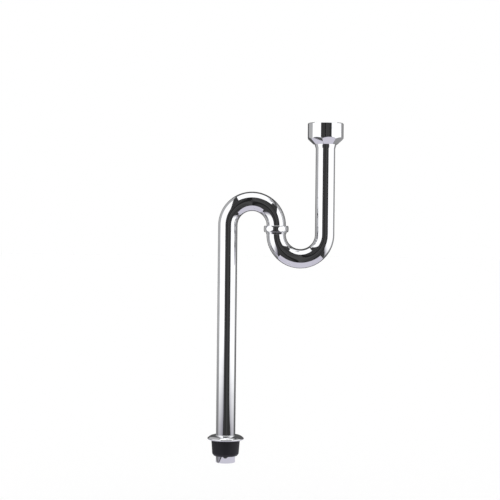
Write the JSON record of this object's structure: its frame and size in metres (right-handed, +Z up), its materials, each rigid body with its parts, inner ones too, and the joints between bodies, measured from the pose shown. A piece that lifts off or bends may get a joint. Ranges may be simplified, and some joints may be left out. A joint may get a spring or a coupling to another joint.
{
  "type": "urinal trap",
  "caption": "Chromed brass S-trap for a wall urinal: a captive inlet nut, a U bend joined by a union nut to a swan neck and long tail, with a floor flange and a rubber floor seal.",
  "frame": {"origin": "on the inlet axis, on the face of the inlet gasket that the urinal's outlet spigot presses on", "axes": "+Z up along the inlet axis, out of the inlet nut's mouth; both bends lie in the XZ plane, with the tail on the -X side; the front faces -Y"},
  "size_m": [0.2195, 0.06, 0.561],
  "materials": {
    "chrome": "polished chrome plating on brass",
    "rubber": "moulded black rubber, satin",
    "nylon": "natural nylon",
    "brass": "turned brass"
  },
  "bodies": {
    "inlet_tube": {"inlet_tube": "chrome", "inlet_gasket": "rubber", "union_ferrule": "chrome", "union_gasket": "rubber"},
    "inlet_slip_ring": {"inlet_slip_ring": "nylon"},
    "inlet_nut": {"inlet_nut": "chrome"},
    "union_slip_ring": {"union_slip_ring": "nylon"},
    "union_nut": {"union_nut": "chrome"},
    "outlet_tube": {"outlet_tube": "chrome", "union_collar": "brass"},
    "floor_seal": {"floor_seal": "rubber"},
    "floor_flange": {"floor_flange": "chrome"}
  },
  "joints": [
    {"name": "inlet_nut_slide", "type": "slide", "parent": "inlet_tube", "child": "inlet_slip_ring", "axis": [0, 0, 1], "range_m": [-0.145, 0]},
    {"name": "inlet_nut_turn", "type": "hinge", "parent": "inlet_slip_ring", "child": "inlet_nut", "pos_m": [0, 0, 0], "axis": [0, 0, 1], "continuous": true},
    {"name": "union_nut_lift", "type": "slide", "parent": "inlet_tube", "child": "union_slip_ring", "axis": [0, 0, 1], "range_m": [0, 0.0046]},
    {"name": "union_nut_turn", "type": "hinge", "parent": "union_slip_ring", "child": "union_nut", "pos_m": [-0.08, 0, -0.155], "axis": [0, 0, 1], "range_deg": [0, 1080]},
    {"name": "outlet_swivel", "type": "hinge", "parent": "inlet_tube", "child": "outlet_tube", "pos_m": [-0.08, 0, -0.1539], "axis": [0, 0, 1], "range_deg": [-140, 140]},
    {"name": "seal_slide", "type": "slide", "parent": "outlet_tube", "child": "floor_seal", "axis": [0, 0, 1], "range_m": [-0.009, 0.24]},
    {"name": "flange_slide", "type": "slide", "parent": "floor_seal", "child": "floor_flange", "axis": [0, 0, 1], "range_m": [0, 0.095]}
  ],
  "couplings": [
    {"joint": "union_nut_lift", "follows": "union_nut_turn", "m_per_rad": 0.00023873}
  ]
}
